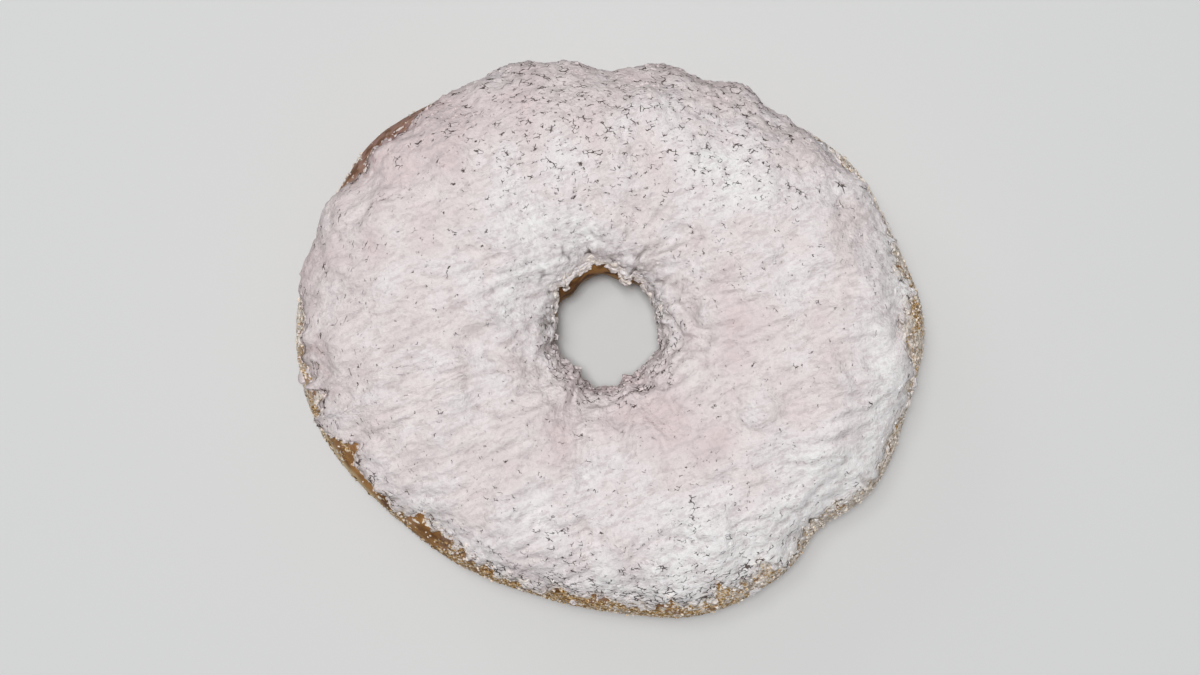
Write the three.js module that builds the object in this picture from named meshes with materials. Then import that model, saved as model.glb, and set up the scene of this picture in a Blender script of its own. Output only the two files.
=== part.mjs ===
// A raised ring doughnut, fried brown, under a thick caked coat of icing sugar.
// It lies on its underside, which its own weight has pressed flat.
// Units are millimetres. +Z is up, X runs across the ring the long way, and the
// origin is under the middle of the ring's box, on the surface it rests on.

import * as THREE from "three";

// Driving dimensions of the dough
const LONG_RADIUS = 48.2; // half of the ring's longest way across
const SHORT_RADIUS = 42; // half of its shortest way across
const LONG_WAY = -14; // direction of the longest way, in degrees from +X
const HOLE_RADIUS = 8.9;
const HOLE_OFFSET = new THREE.Vector2(-0.3, 0.9); // the hole is not quite central
const EQUATOR = 13.2; // height of the widest line, where the pale ring runs
const DOUGH_TOP = 28.4;
const UNDERSIDE_PRESS = 1.1; // how much of the round underside is pressed flat
const FULLNESS = 2.25; // 2 is an elliptical section, more is a squarer one

// Driving dimensions of the sugar
const COAT_GAP = 0.35;
const COAT_THICKNESS = 1.3;
const COAT_LEAST_THICKNESS = 0.65; // where two lumps meet
const COAT_EDGE_THICKNESS = 0.35;
const COAT_TAPER = 0.14; // share of the coat's width over which it thins to its edge
const LUMP_HEIGHT = 0.4;
const LUMP_LENGTH = 8.5; // usual distance from one lump to the next
const LUMP_SPREAD = 0.25; // share by which that distance varies
const LUMP_WAVES = 22;
const LUMP_SEED = 20;
const SMOOTH_WITHIN = 11; // distance from the hole's middle where the lumps start
const LUMPY_BEYOND = 20; // and where they reach their full height
const TEAR_SHARPNESS = 8; // a higher power keeps the torn look nearer to the edge
const CLUMP_DROP = 3; // how much longer a clump is down the side than round it

// Swellings (+) and flats (-) of the rim: direction, height and angular width
const RIM_SWELLINGS = [
  { at: 2, out: 1.0, wide: 12 },
  { at: 37, out: 2.4, wide: 16 },
  { at: 94, out: -1.3, wide: 11 },
  { at: 119, out: -0.7, wide: 9 },
  { at: 137, out: 1.6, wide: 14 },
  { at: 188, out: 2.0, wide: 17 },
  { at: 225, out: -0.7, wide: 14 },
  { at: 256, out: -1.0, wide: 12 },
  { at: 291, out: 2.0, wide: 14 },
  { at: 318, out: -2.7, wide: 8 },
  { at: 346, out: -0.8, wide: 10 },
];

// Hollows (+) and swellings (-) of the hole's wall: direction, depth and angular width
const HOLE_HOLLOWS = [
  { at: 25, out: -0.3, wide: 12 },
  { at: 54, out: 0.7, wide: 11 },
  { at: 70, out: -0.2, wide: 6 },
  { at: 102, out: 0.7, wide: 11 },
  { at: 133, out: -0.9, wide: 12 },
  { at: 180, out: 0.4, wide: 16 },
  { at: 211, out: 0.4, wide: 8 },
  { at: 229, out: -1.0, wide: 9 },
  { at: 270, out: 0.8, wide: 14 },
  { at: 291, out: -1.1, wide: 7 },
];

// Slow unevenness of the shaped dough: height, turns round the ring and the section
const DOUGH_WAVES = [
  { height: 0.3, ring: 3, section: 1, start: 1.2 },
  { height: 0.22, ring: 7, section: 2, start: 0.4 },
  { height: 0.12, ring: 13, section: -3, start: 0 },
];

// Waves of the coat's torn edge: height in degrees, turns round the ring and start
const TEAR_WAVES = [
  { height: 3, ring: 11, start: 1 },
  { height: 2.4, ring: 19, start: 2.3 },
  { height: 1.8, ring: 31, start: 0 },
];

// Clumps of sugar that stand out of the coat at the rim: direction, degrees up
// from the widest line, height and angular width
const RIM_CLUMPS = [
  { at: 106, up: 6, out: 0.9, wide: 7 },
  { at: 79, up: 4, out: 0.9, wide: 8 },
  { at: 62, up: 8, out: 1.0, wide: 4 },
  { at: 306, up: 34, out: 0.7, wide: 4 },
];

// Where the coat ends on the outside, in degrees up from the widest line
const OUTER_EDGE = [
  { at: 0, up: 38 },
  { at: 25, up: 30 },
  { at: 44, up: 18 },
  { at: 60, up: -12 },
  { at: 90, up: -20 },
  { at: 118, up: -14 },
  { at: 130, up: 28 },
  { at: 146, up: 31 },
  { at: 157, up: -2 },
  { at: 168, up: -6 },
  { at: 178, up: 27 },
  { at: 187, up: 29 },
  { at: 194, up: 8 },
  { at: 202, up: 33 },
  { at: 228, up: 37 },
  { at: 252, up: 35 },
  { at: 275, up: 32 },
  { at: 298, up: 42 },
  { at: 318, up: 44 },
  { at: 340, up: 37 },
];

// Where the coat ends in the hole, in degrees up from the hole's narrowest line
const INNER_EDGE = [
  { at: 0, up: -8 },
  { at: 55, up: 8 },
  { at: 80, up: 24 },
  { at: 120, up: 28 },
  { at: 158, up: 24 },
  { at: 185, up: 0 },
  { at: 270, up: -10 },
];

// Facets round the ring and round the section
const DOUGH_AROUND = 88;
const DOUGH_SECTION = 24;
const COAT_AROUND = 128;
const COAT_OUTSIDE = 22;
const COAT_INSIDE = 15;

const { degToRad, radToDeg, lerp, smoothstep } = THREE.MathUtils;

// The signed angle between two directions, from -180 to 180 degrees.
function turn(from, to) {
  return ((((to - from + 180) % 360) + 360) % 360) - 180;
}

// The sum of bell-shaped rises round the ring.
function rises(list, degrees) {
  const rise = ({ at, out, wide }) => out * Math.exp(-((turn(at, degrees) / wide) ** 2));
  return list.reduce((sum, one) => sum + rise(one), 0);
}

// The sum of waves that run round the ring and, where they say so, round the section.
function waves(list, theta, phi = 0) {
  const wave = ({ height, ring, section = 0, start }) =>
    height * Math.sin(ring * theta + section * phi + start);
  return list.reduce((sum, one) => sum + wave(one), 0);
}

// A smooth closed curve through the listed heights round the ring.
function heightAlong(list, degrees) {
  const place = ((degrees % 360) + 360) % 360;
  const after = list.findIndex((one) => one.at > place);
  const next = list[after < 0 ? 0 : after];
  const last = list[(after < 0 ? list.length : after) - 1];
  const share = (place - last.at) / ((next.at - last.at + 360) % 360);
  return lerp(last.up, next.up, smoothstep(share, 0, 1));
}

// Half of the ring's way across in a direction: an ellipse with its swellings.
function rimRadius(theta) {
  const lean = theta - degToRad(LONG_WAY);
  const ellipse = 1 / Math.hypot(Math.cos(lean) / LONG_RADIUS, Math.sin(lean) / SHORT_RADIUS);
  return ellipse + rises(RIM_SWELLINGS, radToDeg(theta));
}

// The cosine or sine of a section angle, drawn out towards a rounded square.
function squared(value) {
  return Math.sign(value) * Math.abs(value) ** (2 / FULLNESS);
}

// A point of the dough, or of a skin that lies a distance outside it. Theta runs
// round the ring and phi round the section, from the widest line over the top.
function pointOnRing(theta, phi, outside) {
  const towards = new THREE.Vector2(Math.cos(theta), Math.sin(theta));
  const holeRadius = HOLE_RADIUS + rises(HOLE_HOLLOWS, radToDeg(theta));
  const hole = towards.clone().multiplyScalar(holeRadius).add(HOLE_OFFSET);
  const rim = towards.clone().multiplyScalar(rimRadius(theta));
  const halfWidth = rim.distanceTo(hole) / 2;
  const swollen = outside + waves(DOUGH_WAVES, theta, phi);
  const across = squared(Math.cos(phi)) + (swollen * Math.cos(phi)) / halfWidth;
  const rise = squared(Math.sin(phi));
  const halfHeight = rise > 0 ? DOUGH_TOP - EQUATOR : EQUATOR + UNDERSIDE_PRESS;
  const height = EQUATOR + rise * halfHeight + swollen * Math.sin(phi);
  const plan = hole.clone().lerp(rim, (1 + across) / 2);
  return new THREE.Vector3(plan.x, plan.y, Math.max(height, 0));
}

// Lumps of the caked sugar: waves of like length in random directions, added up.
function makeLumps() {
  let seed = LUMP_SEED;
  const draw = () => {
    seed = (seed * 16807) % 2147483647;
    return seed / 2147483647;
  };
  const makeWave = () => {
    const up = 2 * draw() - 1;
    const round = 2 * Math.PI * draw();
    const flat = Math.sqrt(1 - up * up);
    const length = LUMP_LENGTH * (1 + LUMP_SPREAD * (2 * draw() - 1));
    const way = new THREE.Vector3(flat * Math.cos(round), flat * Math.sin(round), up);
    return { way: way.multiplyScalar((2 * Math.PI) / length), start: 2 * Math.PI * draw() };
  };
  const list = Array.from({ length: LUMP_WAVES }, makeWave);
  const sum = (point) => list.reduce((total, one) => total + Math.sin(one.way.dot(point) + one.start), 0);
  return (point) => sum(point) * Math.sqrt(2 / LUMP_WAVES);
}

const lumps = makeLumps();

// The section angle at a share of the way from the coat's outer edge to the hole.
// Only the rows near an edge follow its torn look.
function coatAngle(theta, share) {
  const outer = heightAlong(OUTER_EDGE, radToDeg(theta));
  const inner = 180 - heightAlong(INNER_EDGE, radToDeg(theta));
  const outerTear = waves(TEAR_WAVES, theta) * (1 - share) ** TEAR_SHARPNESS;
  const innerTear = waves(TEAR_WAVES, theta + 1) * share ** TEAR_SHARPNESS;
  return degToRad(lerp(outer, inner, share) + outerTear + innerTear);
}

// How far the clumps at the rim stand out at a place on the coat.
function clumpHeight(theta, phi) {
  return RIM_CLUMPS.reduce((sum, one) => {
    const side = turn(one.at, radToDeg(theta)) / one.wide;
    const above = (radToDeg(phi) - one.up) / (CLUMP_DROP * one.wide);
    return sum + one.out * Math.exp(-side * side - above * above);
  }, 0);
}

function coatThickness(theta, phi, share) {
  const point = pointOnRing(theta, phi, 0);
  const fromHole = Math.hypot(point.x - HOLE_OFFSET.x, point.y - HOLE_OFFSET.y);
  const lump = LUMP_HEIGHT * lumps(point) * smoothstep(fromHole, SMOOTH_WITHIN, LUMPY_BEYOND);
  const full = Math.max(COAT_THICKNESS + lump, COAT_LEAST_THICKNESS);
  const taper = smoothstep(Math.min(share, 1 - share), 0, COAT_TAPER);
  return lerp(COAT_EDGE_THICKNESS, full, taper) + clumpHeight(theta, phi);
}

// A closed solid that runs round the ring: its section is a closed loop of stations.
function ringSolid(around, stations, place) {
  const positions = [];
  const indices = [];
  const index = (i, j) => (i % around) * stations + (j % stations);
  for (let i = 0; i < around; i += 1) {
    for (let j = 0; j < stations; j += 1) {
      positions.push(...place((2 * Math.PI * i) / around, j).toArray());
      const corners = [index(i, j), index(i + 1, j), index(i + 1, j + 1), index(i, j + 1)];
      const [a, b, c, d] = (i + j) % 2 ? corners : [...corners.slice(1), corners[0]];
      indices.push(a, b, c, a, c, d);
    }
  }
  const geometry = new THREE.BufferGeometry();
  geometry.setAttribute("position", new THREE.Float32BufferAttribute(positions, 3));
  geometry.setIndex(indices);
  geometry.computeVertexNormals();
  return geometry;
}

// The fried dough: browned above and below, paler along its widest line.
function makeDough() {
  const place = (theta, j) => pointOnRing(theta, (2 * Math.PI * j) / DOUGH_SECTION, 0);
  const material = new THREE.MeshStandardMaterial({ color: 0xb07a3e, roughness: 0.6, metalness: 0 });
  const mesh = new THREE.Mesh(ringSolid(DOUGH_AROUND, DOUGH_SECTION, place), material);
  mesh.name = "dough_ring";
  return mesh;
}

// The caked sugar: a skin that thins to ragged edges below the rim and in the hole.
// Its stations run over its outside from edge to edge, then back along its inside.
function makeCoat() {
  const place = (theta, j) => {
    const outside = j <= COAT_OUTSIDE;
    const share = outside ? j / COAT_OUTSIDE : 1 - (j - COAT_OUTSIDE) / (COAT_INSIDE + 1);
    const phi = coatAngle(theta, share);
    return pointOnRing(theta, phi, COAT_GAP + (outside ? coatThickness(theta, phi, share) : 0));
  };
  const material = new THREE.MeshStandardMaterial({ color: 0xdcd5d5, roughness: 0.95, metalness: 0 });
  const mesh = new THREE.Mesh(ringSolid(COAT_AROUND, COAT_OUTSIDE + 1 + COAT_INSIDE, place), material);
  mesh.name = "sugar_coat";
  return mesh;
}

// The ring is drawn round the middle of its ellipse, then centred on its own box.
const doughnut = new THREE.Group();
doughnut.add(makeDough(), makeCoat());
const boxCentre = new THREE.Box3().setFromObject(doughnut, true).getCenter(new THREE.Vector3());
doughnut.position.set(-boxCentre.x, -boxCentre.y, 0);

export default doughnut;
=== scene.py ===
"""A raised ring doughnut under a thick caked coat of icing sugar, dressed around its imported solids.

Everything is in metres, in the frame of the solids: +Z up, X along the longer way across the ring.
Theta is the direction round the ring from +X, and phi the direction round the dough's section, from
its widest line over the top to the hole. Tables list directions in degrees from +X.
"""

import functools
import itertools
import math

import bpy
import numpy as np
from bpy.props import FloatProperty, FloatVectorProperty, IntProperty, PointerProperty
from bpy.types import NodeSocket, Operator, Panel, PropertyGroup
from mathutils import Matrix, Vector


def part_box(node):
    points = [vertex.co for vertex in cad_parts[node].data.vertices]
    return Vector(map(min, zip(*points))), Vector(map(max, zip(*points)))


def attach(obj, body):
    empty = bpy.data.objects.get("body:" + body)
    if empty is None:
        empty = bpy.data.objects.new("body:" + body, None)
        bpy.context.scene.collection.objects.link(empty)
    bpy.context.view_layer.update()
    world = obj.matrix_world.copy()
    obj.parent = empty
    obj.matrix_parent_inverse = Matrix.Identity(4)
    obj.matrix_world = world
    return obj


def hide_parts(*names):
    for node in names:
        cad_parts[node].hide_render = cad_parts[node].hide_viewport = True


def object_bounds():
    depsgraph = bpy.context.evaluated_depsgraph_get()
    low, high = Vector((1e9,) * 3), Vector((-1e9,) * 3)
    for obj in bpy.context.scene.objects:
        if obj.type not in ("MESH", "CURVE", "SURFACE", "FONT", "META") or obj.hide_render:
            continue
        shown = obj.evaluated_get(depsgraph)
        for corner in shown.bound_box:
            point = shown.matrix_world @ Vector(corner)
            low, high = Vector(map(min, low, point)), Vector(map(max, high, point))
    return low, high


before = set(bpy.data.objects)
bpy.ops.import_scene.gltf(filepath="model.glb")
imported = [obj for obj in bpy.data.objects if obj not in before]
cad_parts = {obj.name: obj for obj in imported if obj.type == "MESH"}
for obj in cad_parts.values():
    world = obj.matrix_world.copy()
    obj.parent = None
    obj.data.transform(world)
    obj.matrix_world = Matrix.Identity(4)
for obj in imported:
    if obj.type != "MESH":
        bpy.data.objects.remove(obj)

bl_info = {
    "name": "Sugared ring doughnut",
    "version": (1, 0, 0),
    "blender": (4, 5, 0),
    "location": "View3D > Sidebar > Doughnut",
    "description": "Makes a fried ring doughnut caked with icing sugar, with its floor, light and camera",
    "category": "Add Mesh",
}

MM = 0.001
CAD_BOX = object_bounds()

# The shape of the ring, as in its solids. Swellings of the rim and hollows of the hole's wall:
# direction, height in millimetres, width in degrees.
RIM_SWELLINGS = (
    (2, 1.0, 12), (37, 2.4, 16), (94, -1.3, 11), (119, -0.7, 9), (137, 1.6, 14), (188, 2.0, 17),
    (225, -0.7, 14), (256, -1.0, 12), (291, 2.0, 14), (318, -2.7, 8), (346, -0.8, 10),
)
HOLE_HOLLOWS = (
    (25, -0.3, 12), (54, 0.7, 11), (70, -0.2, 6), (102, 0.7, 11), (133, -0.9, 12), (180, 0.4, 16),
    (211, 0.4, 8), (229, -1.0, 9), (270, 0.8, 14), (291, -1.1, 7),
)
# Waves: height in millimetres (the torn edge's in degrees), turns round the ring, turns round the
# section, start in radians.
DOUGH_WAVES = ((0.3, 3, 1, 1.2), (0.22, 7, 2, 0.4), (0.12, 13, -3, 0))
TEAR_WAVES = ((3, 11, 0, 1), (2.4, 19, 0, 2.3), (1.8, 31, 0, 0))
# Clumps of the coat at the rim: direction, degrees up from the widest line, height in millimetres,
# width in degrees.
RIM_CLUMPS = ((106, 6, 0.9, 7), (79, 4, 0.9, 8), (62, 8, 1.0, 4), (306, 34, 0.7, 4))
# Where the coat ends on the outside and in the hole: direction, degrees up from the widest and from
# the narrowest line.
OUTER_EDGE = (
    (0, 38), (13, 32), (25, 24), (44, 14), (60, -12), (90, -20), (118, -14), (127, 15), (138, 23),
    (147, 23), (157, -2), (168, -6), (178, 33), (187.3, 34), (188.8, 18), (190.3, 36), (194.5, 36),
    (195.8, 18), (197.1, 34), (206, 38), (222, 42), (234, 41), (252, 37), (275, 38), (298, 42),
    (315, 39), (330, 35), (350, 34),
)
INNER_EDGE = ((0, -8), (50, 8), (72, 24), (120, 28), (144, 24), (158, 6), (172, 0), (270, -10))
# How much of the bare rim is covered by sugar fused to the crust: direction, share.
RIM_COVER = (
    (0, 0.8), (22, 0.85), (42, 0.7), (60, 0.5), (120, 0.35), (132, 0.06), (146, 0.08), (157, 0.5),
    (175, 0.6), (192, 0.6), (204, 0.12), (226, 0.2), (240, 0.6), (265, 0.75), (280, 0.8),
    (298, 0.85), (325, 0.9), (340, 0.85),
)
# How golden the fused sugar has turned: direction, share.
RIM_GOLD = (
    (0, 0.65), (8, 0.75), (22, 0.5), (45, 0.55), (90, 0.5), (140, 0.2), (160, 0.3), (185, 0.75),
    (210, 0.95), (245, 0.95), (275, 0.95), (292, 0.85), (305, 0.65), (330, 0.4), (350, 0.5),
)
# How cracked the coat is just inside its outer edge: direction, share.
EDGE_CRACKS = (
    (0, 0.5), (20, 0.45), (45, 0.1), (90, 0.2), (140, 1.7), (165, 0.6), (200, 0.6), (235, 0.75),
    (285, 0.65), (320, 0.3), (345, 0.25),
)
# Where the dough's pale band rides higher or lower: direction, height in millimetres, width in degrees.
PALE_RISES = ((195, 3.2, 22), (135, -2.0, 20), (228, -2.0, 14))
# Where, by direction, share and width in degrees: the bare crust's veil of fine sugar is thicker or
# thinner, sugar has melted thinly over it, it is browner, the coat is sunk into the crust at its
# edge, and the coat runs smoothly down to the rim.
VEIL_RISES = ((178, 0.3, 10), (186, 0.2, 10), (212, -0.3, 16))
MELT_RISES = ((137, 1.1, 15), (186, 0.35, 8))
DARK_RISES = ((138, 0.4, 14), (182, 0.5, 8))
SUNK_RISES = ((138, 1.4, 20), (184, 0.6, 12))
CALM_RISES = ((-22, 1.0, 42), (172, 0.6, 34))
# Where the coat is painted pinker and darker as shade, or lighter with a negative share, as if lit from the
# lower right: millimetres along X and Y, widths both ways, share.
PINK_SHADE_PATCHES = ((8, -12, 14, 8, 0.5), (22, 6, 10, 10, 0.35), (-14, 12, 12, 9, -0.3), (-33, 27, 11, 10, 0.6))
# Big clumps on the bare rim: direction, degrees up from the widest line, width in millimetres.
RIM_LUMPS = (
    (276.6, 32, 3.0), (275.0, 30, 2.3), (278.0, 30, 2.1), (306, 30, 2.0), (300, 16, 1.8),
    (187, 14, 2.0), (64, 4, 2.0), (52, 18, 1.8), (352, 16, 1.6), (262, 20, 1.6),
)


def linear(hex_colour):
    """The linear colour, with alpha 1, of an sRGB hex value."""
    shares = [(hex_colour >> shift & 255) / 255 for shift in (16, 8, 0)]
    return (*[s / 12.92 if s <= 0.04045 else ((s + 0.055) / 1.055) ** 2.4 for s in shares], 1.0)


def length_property(name, description, millimetres):
    """A length, given in millimetres and kept in metres."""
    length = millimetres * MM
    return FloatProperty(name=name, description=description, default=length, unit="LENGTH", precision=5)


def angle_property(name, description, degrees):
    """An angle, given in degrees and kept in radians."""
    return FloatProperty(name=name, description=description, default=math.radians(degrees), subtype="ANGLE")


def colour_property(name, description, hex_colour):
    """A colour, given as an sRGB hex value and kept as a linear one."""
    return FloatVectorProperty(
        name=name, description=description, default=linear(hex_colour), size=4, subtype="COLOR", min=0, max=1
    )


class RingSettings(PropertyGroup):
    """Sizes and colours of the fried dough."""

    long_radius: length_property("Long radius", "Half of the ring's longest way across", 48.2)
    short_radius: length_property("Short radius", "Half of its shortest way across", 42)
    long_way: angle_property("Long way", "Direction of the longest way", -14)
    hole_radius: length_property("Hole radius", "Half of the way across the hole", 8.9)
    hole_x: length_property("Hole X", "How far right of the ellipse's middle the hole lies", -0.3)
    hole_y: length_property("Hole Y", "How far up from the ellipse's middle the hole lies", 0.9)
    equator: length_property("Widest line", "Height of the widest line and of the pale band", 13.2)
    top: length_property("Dough top", "Height of the dough without its sugar", 28.4)
    press: length_property("Underside press", "How much of the round underside is pressed flat", 1.1)
    fullness: FloatProperty(name="Fullness", description="2 is an ellipse", default=2.25, min=1.5, max=4)
    crust: colour_property("Crust", "Where the hot fat browned the dough", 0xB4834A)
    dark_crust: colour_property("Dark crust", "The darkest browned patches", 0x6E4A2A)
    pale_band: colour_property("Pale band", "The line that floated clear of the fat", 0xE8CFA4)


class SugarSettings(PropertyGroup):
    """Sizes and colours of the icing sugar."""

    thickness: length_property("Thickness", "Usual thickness of the caked coat", 1.6)
    least: length_property("Least thickness", "Thickness where two big lumps meet", 0.95)
    edge: length_property("Edge thickness", "Thickness of the coat's torn edge", 0.5)
    lump_height: length_property("Lump height", "Height of the big lumps", 0.28)
    ripple_height: length_property("Ripple height", "Height of the sifting ripples", 0.36)
    ripple_length: length_property("Ripple length", "Distance from one ripple to the next", 2.35)
    ripple_way: angle_property("Ripple way", "Direction of the crests", 22)
    pebble: length_property("Pebble", "Usual width of the small lumps", 1.5)
    pebble_height: length_property("Pebble height", "Height of the small lumps", 0.34)
    puff_height: length_property("Puff height", "Height of the soft puffs", 0.3)
    fused_height: length_property("Fused height", "Height of the sugar fused to the rim", 0.33)
    rim_grains: IntProperty(name="Rim grains", description="Loose grains tried on the rim", default=5000)
    coat_grains: IntProperty(name="Coat grains", description="Loose grains tried on the coat", default=3500)
    lip_clumps: IntProperty(name="Lip clumps", description="Small clumps tried at the edges", default=1500)
    white: colour_property("Sugar", "Dry caked sugar", 0xF6F4F4)
    # This colour is also laid on as painted shade, through the pinkish share
    shade: colour_property("Sugar shade", "Sugar that has drawn in a little fat", 0xE4D4D4)
    # This colour is painted shade, laid in the hollows, along the creases and on the low spots of the bump
    crease_shade: colour_property("Creases", "Packed sugar down between the lumps", 0xCBBFC0)
    soaked: colour_property("Soaked sugar", "Sugar soaked by the crust", 0xFBEEDD)
    # This colour is the crust seen down cracks and pinholes together with painted shade there; the gaps
    # between lumps take it as painted shade
    crack: colour_property("Cracks", "The crust seen down a crack or a pinhole", 0x4E4038)
    melted: colour_property("Melted sugar", "Sugar melted thinly over the bare crust", 0xA27E79)
    golden: colour_property("Golden sugar", "Sugar turned golden on the crust", 0xDAB276)
    # This colour is also painted shade, down in the crevices between the fused lumps
    stain: colour_property("Stain", "Sugar melted thin on the browned crust", 0x6F4F2E)


class StageSettings(PropertyGroup):
    """The floor, the light and the camera."""

    floor: colour_property("Floor", "Plain pale floor", 0xDADBDB)
    overhead: FloatProperty(name="Overhead light", description="Its power", default=8.8, unit="POWER")
    key: FloatProperty(name="Leaning light", description="Its power", default=2.6, unit="POWER")
    rake: FloatProperty(name="Raking light", description="Its power", default=1.1, unit="POWER")
    fill: FloatProperty(name="Fill", description="Strength of the light from all round", default=0.1)
    lens: FloatProperty(name="Lens", description="Focal length in millimetres", default=100, min=10)


# Random patterns, worked out for whole arrays of points. The last number given to clouds and to
# pebbles only sets one pattern apart from the others.
CELL_STIR = np.array([73856093, 19349663, 83492791])
SEED_STIR = 668265263
BIT_STIR = 1274126177
HASH_RANGE = 0xFFFFFF
CELL_CORNERS = np.array(list(itertools.product((0, 1), repeat=3)))
CELL_NEIGHBOURS = np.array(list(itertools.product((-1, 0, 1), repeat=3)))
CLOUD_HEIGHT = 2.2


def hashed(cell, seed):
    """Even random numbers from 0 to 1, always the same for the same whole-number cell and seed: the
    cell's three numbers are multiplied by large whole numbers, added, and the bits stirred."""
    stirred = cell.astype(np.int64) @ CELL_STIR + seed * SEED_STIR
    stirred = (stirred ^ (stirred >> 13)) * BIT_STIR
    return ((stirred ^ (stirred >> 16)) & HASH_RANGE) / HASH_RANGE


def hashed_vector(cell, seed):
    """Three such numbers, under three seeds in a row."""
    return np.stack([hashed(cell, seed + axis) for axis in range(3)], -1)


def clouds(points, length, seed):
    """Smooth random heights of about -1 to 1 with bumps a length apart: each corner of a cell has a
    random slope, and the slopes' heights at a point are blended by an eased share from corner to
    corner."""
    place = points / length
    cell = np.floor(place)
    part = place - cell
    ease = part**3 * (part * (part * 6 - 15) + 10)
    total = np.zeros(points.shape[:-1])
    for corner in CELL_CORNERS:
        slope = hashed_vector(cell + corner, seed) * 2 - 1
        weight = np.prod(np.where(corner, ease, 1 - ease), -1)
        total += weight * np.sum(slope * (part - corner), -1)
    return total * CLOUD_HEIGHT


def cloud_layers(points, *layers):
    """Clouds of several sizes, added: each layer's share, length in millimetres and seed."""
    return sum(share * clouds(points, length * MM, seed) for share, length, seed in layers)


def pebbles(points, length, seed):
    """The distance, in cells, from each point to the nearest of scattered centres, one at a random
    place in each cell, and that centre's own random number from 0 to 1."""
    place = points / length
    cell = np.floor(place)
    nearest = np.full(points.shape[:-1], np.inf)
    number = np.zeros(points.shape[:-1])
    for step in CELL_NEIGHBOURS:
        centre = cell + step + hashed_vector(cell + step, seed)
        away = np.linalg.norm(centre - place, axis=-1)
        number = np.where(away < nearest, hashed(cell + step, seed + 3), number)
        nearest = np.minimum(nearest, away)
    return nearest, number


def smoothstep(value, low, high):
    """An eased share from 0 at low to 1 at high."""
    share = np.clip((value - low) / (high - low), 0, 1)
    return share * share * (3 - 2 * share)


def lerp(low, high, share):
    """The value that lies a share of the way from low to high."""
    return low + (high - low) * share


def bell(away):
    """A bell-shaped share that is 1 at no distance and falls to about a third at a distance of 1."""
    return np.exp(-away * away)


# The ring's shape
def around(points):
    """Theta at each point."""
    return np.arctan2(points[..., 1], points[..., 0])


def from_axis(points):
    """How far each point lies from the frame's upright axis."""
    return np.linalg.norm(points[..., :2], axis=-1)


def turn(at, theta):
    """The signed angle from a listed direction to others, from -180 to 180 degrees."""
    return (np.degrees(theta) - at + 180) % 360 - 180


def rises(table, theta):
    """The sum of bell-shaped rises round the ring."""
    return sum(out * bell(turn(at, theta) / wide) for at, out, wide in table)


def waves(table, theta, phi=0.0):
    """The sum of waves that run round the ring and round the section."""
    return sum(out * np.sin(ring * theta + section * phi + start) for out, ring, section, start in table)


def height_along(table, theta):
    """A smooth closed curve through the listed values round the ring, eased from each to the next."""
    at, up = np.array(table, float).T
    place = np.degrees(theta) % 360
    last = np.searchsorted(at, place, side="right") - 1
    following = (last + 1) % len(at)
    span = (at[following] - at[last]) % 360
    return lerp(up[last], up[following], smoothstep((place - at[last]) / span, 0, 1))


def squared(value, fullness):
    """The cosine or sine of a section angle, drawn out towards a rounded square."""
    return np.sign(value) * np.abs(value) ** (2 / fullness)


def unshifted_point(ring, theta, phi, outside):
    """A point of the dough, or of a skin that lies a distance outside it, around the ellipse's
    middle. In plan it lies on the line from the hole's wall to the rim, an ellipse with swellings,
    and across that line and up the section is a superellipse cut off flat at the floor."""
    theta, phi, outside = np.broadcast_arrays(theta, phi, outside)
    towards = np.stack([np.cos(theta), np.sin(theta)], -1)
    hole_radius = ring.hole_radius + MM * rises(HOLE_HOLLOWS, theta)
    hole = towards * hole_radius[..., None] + np.array([ring.hole_x, ring.hole_y])
    lean = theta - ring.long_way
    ellipse = 1 / np.hypot(np.cos(lean) / ring.long_radius, np.sin(lean) / ring.short_radius)
    rim = towards * (ellipse + MM * rises(RIM_SWELLINGS, theta))[..., None]
    half_width = np.linalg.norm(rim - hole, axis=-1) / 2
    swollen = outside + MM * waves(DOUGH_WAVES, theta, phi)
    across = squared(np.cos(phi), ring.fullness) + swollen * np.cos(phi) / half_width
    rise = squared(np.sin(phi), ring.fullness)
    half_height = np.where(rise > 0, ring.top - ring.equator, ring.equator + ring.press)
    height = ring.equator + rise * half_height + swollen * np.sin(phi)
    plan = lerp(hole, rim, ((1 + across) / 2)[..., None])
    return np.concatenate([plan, np.maximum(height, 0)[..., None]], -1)


def frame_shift(ring):
    """From the ellipse's middle to the frame's origin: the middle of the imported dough's box less the
    middle of the same dough's box as worked out here."""
    theta, phi = np.meshgrid(np.linspace(0, 2 * np.pi, 361), np.linspace(0, 2 * np.pi, 73), indexing="ij")
    ours = unshifted_point(ring, theta, phi, 0.0).reshape(-1, 3)
    low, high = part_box("dough_ring")
    shift = (np.array(low) + np.array(high)) / 2 - (ours.min(0) + ours.max(0)) / 2
    return shift * (1, 1, 0)


def ring_point(ring, theta, phi, outside):
    """The same point in the frame of the solids."""
    return unshifted_point(ring, theta, phi, outside) + frame_shift(ring)


def outward(ring, theta, phi):
    """The direction that points straight out of the dough: from its surface to a skin 1 mm outside."""
    away = unshifted_point(ring, theta, phi, MM) - unshifted_point(ring, theta, phi, 0.0)
    return away / np.linalg.norm(away, axis=-1, keepdims=True)


# Meshes from arrays
ABOVE_ONE_EDGE = 2.1


def add_object(name, data):
    """A new object at the origin, in the scene."""
    made = bpy.data.objects.new(name, data)
    bpy.context.scene.collection.objects.link(made)
    return made


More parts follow.
